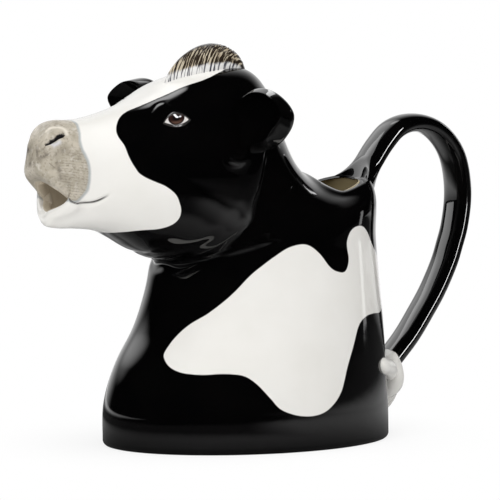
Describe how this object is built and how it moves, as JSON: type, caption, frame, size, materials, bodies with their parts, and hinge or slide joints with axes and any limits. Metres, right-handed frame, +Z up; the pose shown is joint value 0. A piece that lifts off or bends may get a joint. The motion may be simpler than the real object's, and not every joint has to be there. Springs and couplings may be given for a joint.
{
  "type": "cow creamer",
  "caption": "Glazed pottery cream jug shaped as a black and white cow's head and chest: the mouth pours, the hole behind the neck fills, the tail is the handle.",
  "frame": {"origin": "centre of the foot's underside, on the surface that the jug stands on", "axes": "+Z up, the cow's muzzle points along -X, the tail handle along +X, and Y = 0 is the middle plane"},
  "size_m": [0.1488, 0.0984, 0.1157],
  "materials": {
    "black_glaze": "glossy black glaze with painted white patches",
    "white_glaze": "glossy warm white glaze with painted black patches",
    "hair_glaze": "glossy clear glaze over brushed dark hair strokes"
  },
  "bodies": {
    "root": {"body_casting": "black_glaze", "head_casting": "white_glaze", "left_ear": "black_glaze", "right_ear": "black_glaze", "tail_handle": "black_glaze", "tail_tuft": "white_glaze", "forelock": "hair_glaze"}
  },
  "joints": []
}
